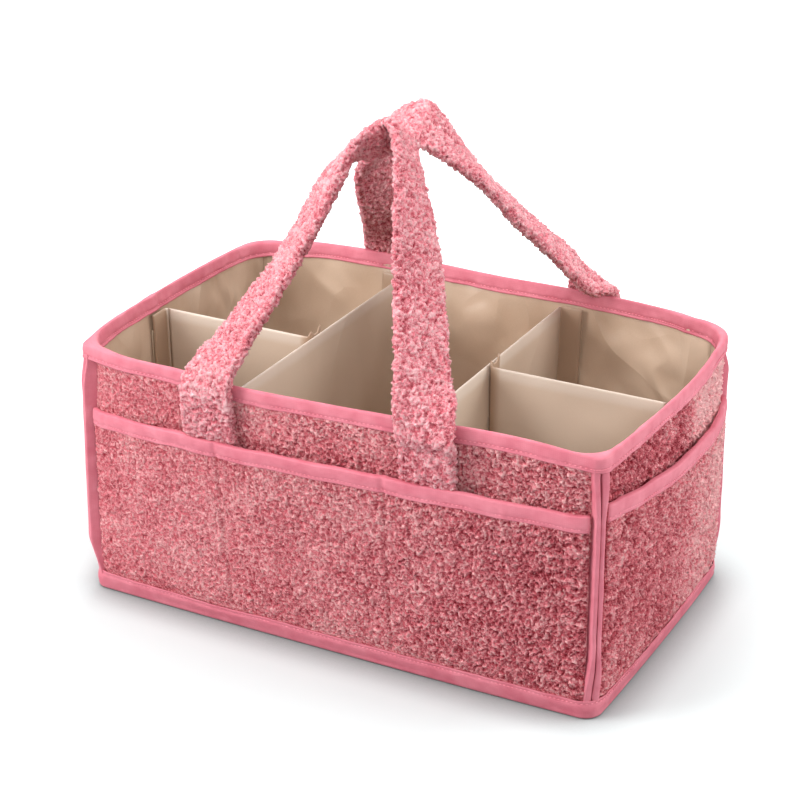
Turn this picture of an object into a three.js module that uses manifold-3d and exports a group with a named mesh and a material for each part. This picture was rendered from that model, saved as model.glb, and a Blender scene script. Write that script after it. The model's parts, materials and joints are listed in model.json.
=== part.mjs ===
// Soft nursery organizer: a plush box bag with bound edges, outside pockets, two carrying straps
// and two removable T-shaped dividers. Millimetres; x runs along the front, y to the back, z up.
import * as THREE from 'three';
import Module from 'manifold-3d';

const wasm = await Module();
wasm.setup();

// ---- Sizes of the bag body, measured on the outside of the plush ----
const bodyHeight = 182;
const baseHalfLength = 185;
const baseHalfDepth = 110;
const rimHalfLength = 187;
const rimHalfDepth = 115;
const cornerRadius = 14;
const baseBulge = 1.5;
const rimBulgeLong = 8;
const rimBulgeEnd = 5;
const bulgePower = 3;

// ---- Cloth and board thicknesses, and the clearance left between loose layers ----
const gap = 0.3;
const plush = 2;
const wallBoard = 1.6;
const lining = 0.6;
const tape = 0.8;
const bindingHeight = 12;
const baseCloth = 1;
const baseBoardThickness = 3;

// ---- Outside pockets ----
const pocketTopFront = 139;
const pocketRise = 2.5;
const endPocketMiddle = 140.5;
const endPocketRise = 6;
const pocketMouth = 6.4;
const endPocketMouth = 7.6;
const pocketEdge = 1.7;
const pocketSwellDepth = 1.5;
const pocketSeams = [-73, 47];
const pocketReach = 25;

// ---- Bound fins standing out at the upright corners ----
const finReach = 7;
const finFlare = 2.2;
const finSplit = 0.15;

// ---- Carrying straps ----
const strapWidth = 43;
const strapThickness = 7;
const strapEdge = 1.6;
const strapMiddle = -6;
const strapSpread = 78;
const strapHeight = 180;
const strapShoulder = 20;
const shoulderShare = 0.9;
const sewnStrapThickness = 2.6;
const legTuck = 30;
const strapMeeting = 0.6;
const archSteps = 56;

// ---- Removable dividers ----
const dividerBottom = 5.5;
const dividerDrop = 10;
const sleeveCloth = 0.6;
const dividerBoard = 1.4;
const tabCloth = 1.2;
const tabLength = 15;
const stripThickness = 1;
const stripBottomInset = 12.5;
const stripTopInset = 12;
const wingFoldGap = 1.9;
const leftCrossX = -66;
const leftWingY = -14;
const rightCrossX = 57;
const rightWingY = -2;
const dividers = [
  { name: 'left', toward: -1, crossX: leftCrossX, wingY: leftWingY },
  { name: 'right', toward: 1, crossX: rightCrossX, wingY: rightWingY },
];

// ---- Values that follow from the ones above; offsets are outward from the plush surface ----
const boardOuter = -plush - gap;
const boardInner = boardOuter - wallBoard;
const liningOuter = boardInner - gap;
const liningInner = liningOuter - lining;
const wallBottom = baseCloth + gap;
const wallTop = bodyHeight - tape - gap;
const baseBoardBottom = wallBottom;
const baseBoardTop = baseBoardBottom + baseBoardThickness;
const baseLiningBottom = baseBoardTop + gap;
const baseLiningTop = baseLiningBottom + lining;
const pocketBottom = bindingHeight + gap;
const finBottom = bindingHeight + 2 * gap;
const finTop = bodyHeight - bindingHeight - 2 * gap;
const legInner = tape + 2 * gap;
const legBottom = pocketTopFront - legTuck;
const hingeZ = bodyHeight + 1.5 * gap;
const dividerTop = bodyHeight - dividerDrop;
const stripBottom = dividerBottom + stripBottomInset;
const stripTop = dividerTop - stripTopInset;
const sleeveHalf = dividerBoard / 2 + gap + sleeveCloth;
const stripStack = 3 * gap + 2 * stripThickness;

const radians = THREE.MathUtils.degToRad;
const lerp = THREE.MathUtils.lerp;
const smoothstep = THREE.MathUtils.smoothstep;

// ---- Materials ----
function cloth(color, roughness) {
  return new THREE.MeshStandardMaterial({ color, roughness, metalness: 0, side: THREE.DoubleSide });
}
const materials = {
  plush: cloth('#dc7c8a', 0.95),
  strap: cloth('#e08592', 0.95),
  binding: cloth('#f0798c', 0.7),
  lining: cloth('#bfa58c', 0.55),
  divider: cloth('#cfc3b3', 0.5),
  board: cloth('#e6e1d6', 0.9),
  hook: cloth('#d8c9b8', 0.85),
  loop: cloth('#cdb9a4', 0.95),
  base: cloth('#c96f7d', 0.95),
};

const bag = new THREE.Group();
bag.name = 'plush_organizer_bag';

function add(name, geometry, material) {
  const mesh = new THREE.Mesh(geometry, materials[material].clone());
  mesh.name = name;
  bag.add(mesh);
}

// ---- Solids swept through a list of stations ----
function signedArea(profile) {
  return THREE.ShapeUtils.area(profile.map(([x, y]) => new THREE.Vector2(x, y)));
}

function capFaces(profile) {
  const contour = profile.map(([x, y]) => new THREE.Vector2(x, y));
  const winding = Math.sign(signedArea(profile));
  return THREE.ShapeUtils.triangulateShape(contour, []).map((face) => {
    const turn = Math.sign(signedArea(face.map((i) => profile[i])));
    return turn === winding ? face : [face[0], face[2], face[1]];
  });
}

function volumeOf(points, faces) {
  let six = 0;
  for (const [a, b, c] of faces) {
    const [ax, ay, az] = points[a];
    const [bx, by, bz] = points[b];
    const [cx, cy, cz] = points[c];
    six += ax * (by * cz - bz * cy) + ay * (bz * cx - bx * cz) + az * (bx * cy - by * cx);
  }
  return six / 6;
}

// The profile is carried to each station by place(station, point); a closed sweep joins its ends.
// Every side face is split from its low near corner to its high far one, so that the curved faces
// of neighbouring layers stay the same distance apart.
function sweep(stations, profileAt, place, closed = false) {
  const points = [];
  const faces = [];
  const corners = profileAt(stations[0]).length;
  for (const station of stations) {
    for (const corner of profileAt(station)) {
      points.push(place(station, corner));
    }
  }
  const spans = closed ? stations.length : stations.length - 1;
  for (let i = 0; i < spans; i += 1) {
    const here = i * corners;
    const next = ((i + 1) % stations.length) * corners;
    for (let j = 0; j < corners; j += 1) {
      const k = (j + 1) % corners;
      if (points[here + k][2] < points[here + j][2]) {
        faces.push([here + j, here + k, next + j], [here + k, next + k, next + j]);
      } else {
        faces.push([here + j, here + k, next + k], [here + j, next + k, next + j]);
      }
    }
  }
  if (!closed) {
    const last = (stations.length - 1) * corners;
    for (const [a, b, c] of capFaces(profileAt(stations[0]))) {
      faces.push([a, c, b]);
    }
    for (const [a, b, c] of capFaces(profileAt(stations[stations.length - 1]))) {
      faces.push([last + a, last + b, last + c]);
    }
  }
  if (volumeOf(points, faces) < 0) {
    faces.forEach((face) => face.reverse());
  }
  return { points, faces };
}

function geometryOf({ points, faces }) {
  const geometry = new THREE.BufferGeometry();
  geometry.setAttribute('position', new THREE.Float32BufferAttribute(points.flat(), 3));
  geometry.setIndex(faces.flat());
  geometry.computeVertexNormals();
  return geometry;
}

function solidOf({ points, faces }) {
  return new wasm.Manifold(new wasm.Mesh({
    numProp: 3,
    vertProperties: Float32Array.from(points.flat()),
    triVerts: Uint32Array.from(faces.flat()),
  }));
}

function geometryOfSolid(solid) {
  const mesh = solid.getMesh();
  const geometry = new THREE.BufferGeometry();
  geometry.setAttribute('position', new THREE.BufferAttribute(mesh.vertProperties.slice(), 3));
  geometry.setIndex(Array.from(mesh.triVerts));
  geometry.computeVertexNormals();
  return geometry;
}

// ---- The outline of the bag: four walls, each with half of its two rounded corners ----
const walls = [
  { name: 'front', along: [1, 0], out: [0, -1], long: true },
  { name: 'right', along: [0, 1], out: [1, 0], long: false },
  { name: 'back', along: [-1, 0], out: [0, 1], long: true },
  { name: 'left', along: [0, -1], out: [-1, 0], long: false },
];

function halfLengthAt(z) {
  return lerp(baseHalfLength, rimHalfLength, z / bodyHeight);
}

function halfDepthAt(z) {
  return lerp(baseHalfDepth, rimHalfDepth, z / bodyHeight);
}

function straightHalf(wall, z) {
  return (wall.long ? halfLengthAt(z) : halfDepthAt(z)) - cornerRadius;
}

function wallDistance(wall, u, z) {
  const bulge = lerp(baseBulge, wall.long ? rimBulgeLong : rimBulgeEnd, z / bodyHeight);
  const distance = wall.long ? halfDepthAt(z) : halfLengthAt(z);
  return distance + bulge * (1 - Math.abs(u) ** bulgePower);
}

function onWall({ wall, u, turn }, offset, z) {
  let along = u * straightHalf(wall, z);
  let out = wallDistance(wall, u, z) + offset;
  if (turn !== 0) {
    along += Math.sin(turn) * (cornerRadius + offset);
    out += (Math.cos(turn) - 1) * (cornerRadius + offset);
  }
  return [
    along * wall.along[0] + out * wall.out[0],
    along * wall.along[1] + out * wall.out[1],
    z,
  ];
}

function evenly(from, to, spans) {
  return Array.from({ length: spans + 1 }, (_, i) => lerp(from, to, i / spans));
}

function straightStations(wall, us) {
  return us.map((u) => ({ wall, u, turn: 0 }));
}

function wallStations(wall, reachDegrees, us = evenly(-1, 1, wall.long ? 12 : 8)) {
  const turns = evenly(0, radians(reachDegrees), 3).slice(1);
  return [
    ...turns.map((turn) => ({ wall, u: -1, turn: -turn })).reverse(),
    ...straightStations(wall, us),
    ...turns.map((turn) => ({ wall, u: 1, turn })),
  ];
}

function ringStations() {
  return walls.flatMap((wall) => wallStations(wall, 45).slice(1));
}

function byOffset(station, [offset, z]) {
  return onWall(station, offset, z);
}

function rectangle(x0, x1, y0, y1) {
  return [[x0, y0], [x1, y0], [x1, y1], [x0, y1]];
}

function layer(wall, reachDegrees, inner, outer) {
  const profile = rectangle(inner, outer, wallBottom, wallTop);
  return sweep(wallStations(wall, reachDegrees), () => profile, byOffset);
}

// ---- The upright corners, in distances along and across the diagonal ----
const cornerSigns = [[-1, -1], [1, -1], [1, 1], [-1, 1]];
const finInner = finSplit + tape + gap;
const finOuter = finInner + plush;

function atCorner([sx, sy], towardLong, along, across, z) {
  const side = towardLong ? 1 : -1;
  const centre = [sx * (halfLengthAt(z) - cornerRadius), sy * (halfDepthAt(z) - cornerRadius)];
  const out = (cornerRadius + along) / Math.SQRT2;
  const over = (side * across) / Math.SQRT2;
  return [centre[0] + sx * (out - over), centre[1] + sy * (out + over), z];
}

function finReachAt(z) {
  const middle = (finBottom + finTop) / 2;
  return finReach + finFlare * ((z - middle) / (finTop - middle)) ** 4;
}

const finLevels = evenly(finBottom, finTop, 8);

function cornerSweep(corner, towardLong, profileAt) {
  return sweep(finLevels, profileAt, (z, [along, across]) => {
    return atCorner(corner, towardLong, along, across, z);
  });
}

function fin(corner, towardLong) {
  return cornerSweep(corner, towardLong, (z) => {
    return rectangle(-plush / 2, finReachAt(z), finInner, finOuter);
  });
}

function finBinding(corner, towardLong) {
  const from = 0.5;
  return cornerSweep(corner, towardLong, (z) => {
    const inside = finReachAt(z) + gap;
    const tip = inside + tape;
    return [
      [from, finSplit],
      [tip, finSplit],
      [tip, finOuter + gap + tape],
      [from, finOuter + gap + tape],
      [from, finOuter + gap],
      [inside, finOuter + gap],
      [inside, finSplit + tape],
      [from, finSplit + tape],
    ];
  });
}

function cornersOf(wall) {
  return cornerSigns.filter(([sx, sy]) => {
    return sx * wall.out[0] + sy * wall.out[1] > 0;
  });
}

// ---- Walls ----
const plushReach = 45 - THREE.MathUtils.radToDeg(finInner / cornerRadius);
const liningReach = 44;

for (const wall of walls) {
  let panel = solidOf(layer(wall, plushReach, -plush, 0));
  for (const corner of cornersOf(wall)) {
    panel = panel.add(solidOf(fin(corner, wall.long)));
  }
  add(`${wall.name}_plush_panel`, geometryOfSolid(panel), 'plush');
  add(`${wall.name}_wall_board`, geometryOf(layer(wall, 0, boardInner, boardOuter)), 'board');
  add(`${wall.name}_lining`, geometryOf(layer(wall, liningReach, liningInner, liningOuter)), 'lining');
}

// ---- Base ----
function planPlate(offset, z0, z1) {
  const outline = ringStations().map((station) => onWall(station, offset, z0).slice(0, 2));
  return sweep([z0, z1], () => outline, (z, [x, y]) => [x, y, z]);
}

const baseBindingInner = liningInner - 3;
add('base_underside_cloth', geometryOf(planPlate(baseBindingInner - gap, 0, baseCloth)), 'base');
add('base_board', geometryOf(planPlate(liningInner - gap, baseBoardBottom, baseBoardTop)), 'board');
add('base_lining', geometryOf(planPlate(liningInner - gap, baseLiningBottom, baseLiningTop)), 'lining');

// ---- Tape around the rim and around the foot ----
const rimTape = [
  [gap, bodyHeight - bindingHeight],
  [gap + tape, bodyHeight - bindingHeight],
  [gap + tape, bodyHeight],
  [liningInner - gap - tape, bodyHeight],
  [liningInner - gap - tape, bodyHeight - bindingHeight],
  [liningInner - gap, bodyHeight - bindingHeight],
  [liningInner - gap, bodyHeight - tape],
  [gap, bodyHeight - tape],
];
add('rim_binding', geometryOf(sweep(ringStations(), () => rimTape, byOffset, true)), 'binding');

const footTape = [
  [gap, wallBottom - gap],
  [baseBindingInner, wallBottom - gap],
  [baseBindingInner, wallBottom - gap - tape],
  [gap + tape, wallBottom - gap - tape],
  [gap + tape, bindingHeight],
  [gap, bindingHeight],
];
add('base_binding', geometryOf(sweep(ringStations(), () => footTape, byOffset, true)), 'binding');

for (const corner of cornerSigns) {
  const place = `${corner[1] < 0 ? 'front' : 'back'}_${corner[0] < 0 ? 'left' : 'right'}`;
  add(`${place}_corner_binding_long`, geometryOf(finBinding(corner, true)), 'binding');
  add(`${place}_corner_binding_end`, geometryOf(finBinding(corner, false)), 'binding');
}

// ---- Outside pockets ----
// A long pocket is sewn down along two seams and stands full between them; an end pocket gapes.
const seamSpans = [-rimHalfLength + cornerRadius, ...pocketSeams, rimHalfLength - cornerRadius];

function alongX(wall, u) {
  return u * straightHalf(wall, pocketTopFront) * wall.along[0];
}

function fullness(x) {
  let index = 0;
  while (index < seamSpans.length - 2 && x > seamSpans[index + 1]) {
    index += 1;
  }
  const share = (x - seamSpans[index]) / (seamSpans[index + 1] - seamSpans[index]);
  return pocketSwellDepth * Math.sin(Math.PI * THREE.MathUtils.clamp(share, 0, 1)) ** 0.7;
}

function pocketTop(wall, u) {
  if (!wall.long) {
    return endPocketMiddle + endPocketRise * u * u;
  }
  return pocketTopFront + pocketRise * ((1 + u * wall.along[0]) / 2) ** 3;
}

function pocketInner(wall, u, z) {
  const share = (z - pocketBottom) / (pocketTop(wall, u) - pocketBottom);
  if (!wall.long) {
    return lerp(gap, pocketEdge + (endPocketMouth - pocketEdge) * (1 - u * u), share);
  }
  const mouth = lerp(pocketMouth, pocketEdge, smoothstep(Math.abs(u), 0.65, 1));
  return lerp(gap, mouth, share) + fullness(alongX(wall, u)) * Math.min(1, 3 * share);
}

function pocketStations(wall) {
  if (!wall.long) {
    return wallStations(wall, pocketReach, evenly(-1, 1, 10));
  }
  const half = straightHalf(wall, pocketTopFront);
  const xs = seamSpans.slice(1).flatMap((x, i) => evenly(seamSpans[i], x, 6).slice(1));
  const us = [-1, ...xs.map((x) => THREE.MathUtils.clamp(x / half, -1, 1))];
  return wallStations(wall, pocketReach, us.map((u) => u * wall.along[0]).sort((a, b) => a - b));
}

// A point of a pocket profile is [distance outward from the pocket's inner face, height share].
function onPocket(station, [out, share]) {
  const z = lerp(pocketBottom, pocketTop(station.wall, station.u), share);
  return onWall(station, pocketInner(station.wall, station.u, z) + out, z);
}

function pocketPanel(wall) {
  const shares = evenly(0, 1, 4);
  const profile = [
    ...shares.map((share) => [0, share]),
    ...shares.map((share) => [plush, share]).reverse(),
  ];
  return sweep(pocketStations(wall), () => profile, onPocket);
}

function pocketBinding(wall) {
  const inside = -gap - tape;
  const outside = plush + gap + tape;
  const profile = [
    [plush + gap, bindingHeight],
    [outside, bindingHeight],
    [outside, -gap - tape],
    [inside, -gap - tape],
    [inside, bindingHeight],
    [-gap, bindingHeight],
    [-gap, -gap],
    [plush + gap, -gap],
  ];
  return sweep(pocketStations(wall), () => profile, (station, [out, drop]) => {
    const top = pocketTop(station.wall, station.u);
    return onPocket(station, [out, (top - drop - pocketBottom) / (top - pocketBottom)]);
  });
}

for (const wall of walls) {
  add(`${wall.name}_pocket`, geometryOf(pocketPanel(wall)), 'plush');
  add(`${wall.name}_pocket_binding`, geometryOf(pocketBinding(wall)), 'binding');
}

// ---- Sewn feet of the straps, flattened where they pass behind the pockets ----
const strapFeet = [strapMiddle - strapSpread, strapMiddle + strapSpread];

function strapFoot(wall, x) {
  const half = straightHalf(wall, bodyHeight);
  const us = evenly(x - strapWidth / 2, x + strapWidth / 2, 4).map((at) => (at * wall.along[0]) / half);
  const flatTop = pocketTopFront + pocketRise;
  const levels = [
    [legBottom, sewnStrapThickness],
    [flatTop, sewnStrapThickness],
    [flatTop + 2 * strapThickness, strapThickness],
    [hingeZ - gap / 2, strapThickness],
  ];
  const profile = [
    ...levels.map(([z]) => [legInner, z]),
    ...levels.map(([z, thickness]) => [legInner + thickness, z]).reverse(),
  ];
  return sweep(straightStations(wall, us), () => profile, byOffset);
}

for (const wall of walls.filter((each) => each.long)) {
  for (const x of strapFeet) {
    const side = x < 0 ? 'left' : 'right';
    add(`${wall.name}_strap_foot_${side}`, geometryOf(strapFoot(wall, x)), 'strap');
  }
}

// ---- Strap arches ----
// Each arch swings about a line just outside its feet and leans in until the two straps meet.
const hingeY = wallDistance(walls[0], 0, hingeZ) + legInner + strapThickness + gap;
const faceDepth = gap + strapThickness / 2;
const leanReach = Math.hypot(strapHeight + strapThickness / 2, faceDepth + strapWidth / 2);
const leanOffset = Math.atan2(faceDepth + strapWidth / 2, strapHeight + strapThickness / 2);
const lean = Math.asin((hingeY - strapMeeting / 2) / leanReach) - leanOffset;

const archUp = new THREE.Vector3(0, Math.sin(lean), Math.cos(lean));
const archOut = new THREE.Vector3(0, -Math.cos(lean), Math.sin(lean));

function archCurve() {
  const [left, right] = strapFeet;
  const shoulders = [strapMiddle - strapShoulder, strapMiddle + strapShoulder];
  const shoulderUp = shoulderShare * strapHeight;
  const flat = [
    [left, -2 * strapThickness],
    [left, 0],
    [(left + shoulders[0]) / 2, shoulderUp / 2],
    [shoulders[0], shoulderUp],
    [strapMiddle, strapHeight],
    [shoulders[1], shoulderUp],
    [(right + shoulders[1]) / 2, shoulderUp / 2],
    [right, 0],
    [right, -2 * strapThickness],
  ];
  return new THREE.CatmullRomCurve3(flat.map(([x, up]) => {
    return new THREE.Vector3(x, -hingeY, hingeZ)
      .addScaledVector(archUp, up)
      .addScaledVector(archOut, -faceDepth);
  }), false, 'centripetal');
}

function strapSection() {
  const w = strapWidth / 2;
  const t = strapThickness / 2;
  return [
    [w - strapEdge, -t],
    [w, -t + strapEdge],
    [w, t - strapEdge],
    [w - strapEdge, t],
    [-w + strapEdge, t],
    [-w, t - strapEdge],
    [-w, -t + strapEdge],
    [-w + strapEdge, -t],
  ];
}

// The strap lies flat on the wall up to its hinge line, and from there turns a quarter turn on its
// way to the top.
function frontArch() {
  const curve = archCurve();
  const twistStart = (2.3 * strapThickness) / curve.getLength();
  const stations = evenly(0, 1, archSteps).map((s) => {
    const tangent = curve.getTangentAt(s);
    const inward = new THREE.Vector3().crossVectors(tangent, archOut).negate();
    const share = THREE.MathUtils.clamp((s - twistStart) / (1 - 2 * twistStart), 0, 1);
    const turn = (Math.PI / 2) * (1 - Math.abs(1 - 2 * share) ** 1.5);
    const across = inward.normalize().multiplyScalar(Math.cos(turn));
    across.addScaledVector(archOut, Math.sin(turn)).normalize();
    const face = new THREE.Vector3().crossVectors(across, tangent).normalize();
    return { centre: curve.getPointAt(s), across, face };
  });
  const section = strapSection();
  const strap = solidOf(sweep(stations, () => section, ({ centre, across, face }, [w, t]) => {
    return centre.clone().addScaledVector(across, w).addScaledVector(face, t).toArray();
  }));
  return strap.trimByPlane([0, 0, 1], hingeZ + gap / 2);
}

const frontStrap = frontArch();
add('front_strap_arch', geometryOfSolid(frontStrap), 'strap');
add('back_strap_arch', geometryOfSolid(frontStrap.mirror([0, 1, 0])), 'strap');

// ---- Dividers ----
// Every divider piece is a plan outline carried up between two heights, leaning with the walls.
function upright(z0, z1, outlineAt) {
  return sweep([z0, z1], outlineAt, (z, [x, y]) => [x, y, z]);
}

function roomToWall(wall, across, z) {
  return wallDistance(wall, across / straightHalf(wall, z), z) + liningInner - gap;
}

for (const { name, toward, crossX, wingY } of dividers) {
  const side = (x) => crossX + toward * x;
  const tabEnd = sleeveHalf + tabLength;
  const crossEnd = (z) => roomToWall(walls[0], side(tabEnd), z) - stripStack + gap;
  const innerTop = dividerTop - sleeveCloth;

  const crossOutline = (z) => {
    const end = crossEnd(z);
    return [
      [side(-sleeveHalf), -end],
      [side(tabEnd), -end],
      [side(tabEnd), -end + tabCloth],
      [side(sleeveHalf), -end + tabCloth],
      [side(sleeveHalf), end - tabCloth],
      [side(tabEnd), end - tabCloth],
      [side(tabEnd), end],
      [side(-sleeveHalf), end],
    ];
  };
  const crossSlot = (inset) => (z) => {
    const half = sleeveHalf - sleeveCloth - inset;
    const end = crossEnd(z) - tabCloth - inset;
    return rectangle(crossX - half, crossX + half, -end, end);
  };
  const foldX = sleeveHalf + tabCloth;
  const sewnTab = () => {
    const near = side(sleeveHalf - sleeveCloth / 2);
    return rectangle(near, side(foldX), wingY - sleeveHalf, wingY - sleeveHalf + tabLength);
  };
  const crossSleeve = solidOf(upright(dividerBottom, dividerTop, crossOutline))
    .add(solidOf(upright(dividerBottom, dividerTop, sewnTab)))
    .subtract(solidOf(upright(dividerBottom - 1, innerTop, crossSlot(0))));
  add(`${name}_cross_sleeve`, geometryOfSolid(crossSleeve), 'divider');
  const crossBoard = upright(dividerBottom + gap, innerTop - gap, crossSlot(gap));
  add(`${name}_cross_board`, geometryOf(crossBoard), 'board');

  for (const [end, sign] of [['front', -1], ['back', 1]]) {
    const strip = (stand, inset) => (z) => {
      const from = crossEnd(z) + stand;
      const y = [sign * from, sign * (from + stripThickness)];
      return rectangle(side(-sleeveHalf + inset), side(tabEnd - inset), y[0], y[1]);
    };
    const hook = upright(stripBottom, stripTop, strip(gap, 2));
    const loop = upright(stripBottom, stripTop, strip(2 * gap + stripThickness, 1));
    add(`${name}_cross_hook_strip_${end}`, geometryOf(hook), 'hook');
    add(`${name}_cross_loop_strip_${end}`, geometryOf(loop), 'loop');
  }

  const endWall = walls[1];
  const wingTabTip = wingY - sleeveHalf - tabLength;
  const wingStart = side(foldX + gap + wingFoldGap);
  const wingEnd = (z) => roomToWall(endWall, wingTabTip, z) - stripStack + gap;
  const wingOutline = (z) => {
    const end = wingEnd(z);
    return [
      [wingStart, wingY + sleeveHalf],
      [toward * end, wingY + sleeveHalf],
      [toward * end, wingTabTip],
      [toward * (end - tabCloth), wingTabTip],
      [toward * (end - tabCloth), wingY - sleeveHalf],
      [wingStart, wingY - sleeveHalf],
    ];
  };
  const wingSlot = (inset) => (z) => {
    const half = sleeveHalf - sleeveCloth - inset;
    const start = wingStart + toward * (sleeveCloth + inset);
    const end = toward * (wingEnd(z) - tabCloth - inset);
    return rectangle(start, end, wingY - half, wingY + half);
  };
  const wingSleeve = solidOf(upright(dividerBottom, dividerTop, wingOutline))
    .subtract(solidOf(upright(dividerBottom - 1, innerTop, wingSlot(0))));
  add(`${name}_wing_sleeve`, geometryOfSolid(wingSleeve), 'divider');
  const wingBoard = upright(dividerBottom + gap, innerTop - gap, wingSlot(gap));
  add(`${name}_wing_board`, geometryOf(wingBoard), 'board');

  const wingStrip = (stand, inset) => (z) => {
    const from = wingEnd(z) + stand;
    const x = [toward * from, toward * (from + stripThickness)];
    return rectangle(x[0], x[1], wingTabTip + inset, wingY + sleeveHalf - inset);
  };
  const wingHook = upright(stripBottom, stripTop, wingStrip(gap, 2));
  const wingLoop = upright(stripBottom, stripTop, wingStrip(2 * gap + stripThickness, 1));
  add(`${name}_wing_hook_strip`, geometryOf(wingHook), 'hook');
  add(`${name}_wing_loop_strip`, geometryOf(wingLoop), 'loop');
}

export default bag;
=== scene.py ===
"""The looks of a soft nursery organizer: a bouclé box bag with bound edges, outside pockets, two
carrying straps and two T-shaped dividers. Sizes are in millimetres and become metres in meshes."""
import json
import math

import bpy
import numpy as np
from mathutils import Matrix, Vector

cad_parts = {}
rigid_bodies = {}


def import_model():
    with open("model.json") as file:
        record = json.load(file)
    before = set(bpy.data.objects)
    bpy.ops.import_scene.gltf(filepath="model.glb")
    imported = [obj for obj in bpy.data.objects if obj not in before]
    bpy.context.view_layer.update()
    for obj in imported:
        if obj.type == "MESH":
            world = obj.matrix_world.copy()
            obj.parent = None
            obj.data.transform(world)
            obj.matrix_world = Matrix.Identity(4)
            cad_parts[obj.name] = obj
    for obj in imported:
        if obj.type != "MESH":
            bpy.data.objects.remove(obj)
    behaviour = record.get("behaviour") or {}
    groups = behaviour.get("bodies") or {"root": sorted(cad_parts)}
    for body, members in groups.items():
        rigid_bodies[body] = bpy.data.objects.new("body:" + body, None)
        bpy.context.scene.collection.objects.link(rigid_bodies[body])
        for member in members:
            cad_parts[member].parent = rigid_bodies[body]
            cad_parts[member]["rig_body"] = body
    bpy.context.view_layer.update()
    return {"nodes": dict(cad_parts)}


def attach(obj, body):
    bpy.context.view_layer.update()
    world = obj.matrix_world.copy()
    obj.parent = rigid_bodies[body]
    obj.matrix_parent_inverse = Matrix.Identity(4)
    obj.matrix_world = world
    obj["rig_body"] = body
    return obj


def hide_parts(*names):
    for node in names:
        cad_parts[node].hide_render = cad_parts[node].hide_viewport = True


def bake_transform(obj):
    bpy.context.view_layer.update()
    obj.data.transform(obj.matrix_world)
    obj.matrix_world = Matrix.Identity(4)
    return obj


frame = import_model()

MM = 0.001
join = np.concatenate

# ---- Sizes, the same as the part's own ----
BODY_HEIGHT = 182.0
BASE_HALF_LENGTH, BASE_HALF_DEPTH = 185.0, 110.0
RIM_HALF_LENGTH, RIM_HALF_DEPTH = 187.0, 115.0
CORNER_RADIUS = 14.0
# Corner radii in the order front left, front right, back right, back left: of the walls at the
# base and at the rim, of the rim's tape, and of the tape round the base.
WALL_RADII = ((15, 18, 22, 21), (23, 23, 38, 31))
RIM_RADII = ((4, 8, 29, 22),) * 2
BASE_RADII = ((7, 11, 14, 14),) * 2
BASE_BULGE, RIM_BULGE_LONG, RIM_BULGE_END = 1.5, 8.0, 5.0
GAP = 0.3
PLUSH, WALL_BOARD, LINING, TAPE = 2.0, 1.6, 0.6, 0.8
BINDING_HEIGHT, TAPE_SHOWN, STITCH_AT, BASE_TAPE_TOP = 12.0, 9.9, 2.2, 13.4
THREAD_LENGTH, THREAD_WIDTH, STITCH_PITCH = 1.9, 0.75, 2.9
POCKET_MOUTH, END_POCKET_MOUTH, POCKET_EDGE, POCKET_SWELL = 5.8, 4.8, 1.7, 1.5
# Height of a pocket's top edge at shares of a long wall from -x to +x, and of an end wall from
# front to back.
POCKET_LINE = [(-1, 136.5), (-.8, 139.8), (-.5, 141.2), (0, 143), (.5, 142.6), (1, 141.5)]
END_POCKET_LINE = [(-1, 147.3), (-.6, 144), (-.2, 139.5), (.2, 137), (.6, 136), (1, 137)]
POCKET_SEAMS = (-73.0, 47.0)
SEAM_DEPTH = 1.3
POCKET_BOTTOM, POCKET_REACH = BINDING_HEIGHT + GAP, 32.0
STRAP_WIDTH, STRAP_THICKNESS, SEWN_STRAP = 37.5, 5.8, 2.4
DIVIDER_BOTTOM, DIVIDER_TOP = 5.5, 172.0
SLEEVE_HALF, DIVIDER_BOARD, TAB_LENGTH, TAB_HALF = 1.6, 1.4, 15.0, 0.6
STRIP, STRIP_BOTTOM, STRIP_TOP = 1.0, 18.0, 160.0
BOARD_OUTER = -PLUSH - GAP
BOARD_INNER = BOARD_OUTER - WALL_BOARD
LINING_OUTER = BOARD_INNER - GAP
LINING_INNER = LINING_OUTER - LINING
RIM_INNER = LINING_INNER - GAP - TAPE
WALL_BOTTOM, WALL_TOP = 1.3, BODY_HEIGHT - TAPE - GAP
# The places along each wall where a divider's tape is sewn to its lining.
TAPED = ((-59, 50), (-9,), (-59, 50), (-21,))

# Walls in order round the bag: front, right, back, left.
WALL_NAMES = ("front", "right", "back", "left")
ALONG = np.array([[1, 0], [0, 1], [-1, 0], [0, -1]], float)
OUTWARD = np.array([[0, -1], [1, 0], [0, 1], [-1, 0]], float)

# How the filled bag has settled: at shares u of each wall, how far its rim stands out and up.
SETTLED = [np.array(rows, float) for rows in (
    [(-1, 0, 0), (-.85, 1, -.2), (-.6, -.5, 0), (-.33, 2, -.8), (-.04, .5, -.3), (.27, -1.5, .6),
     (.42, -2.2, 1.2), (.6, -4.5, 2), (.8, -3.6, 1.6), (1, 0, 0)],
    [(-1, 0, 0), (-.5, -.6, .2), (0, .5, 0), (.45, -.4, 0), (.75, -1.4, .3), (1, 0, 0)],
    [(-1, 0, 0), (-.8, 1, .5), (-.34, 1.5, .7), (0, 1, .3), (.3, 2.4, 1.1), (.65, 3.4, 1.7),
     (.85, 2.6, 1.3), (1, 0, 0)],
    [(-1, 0, 0), (-.75, -1.6, .4), (-.45, -2, .6), (0, -.6, 0), (.5, -1.4, .3), (1, 0, 0)])]


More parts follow.
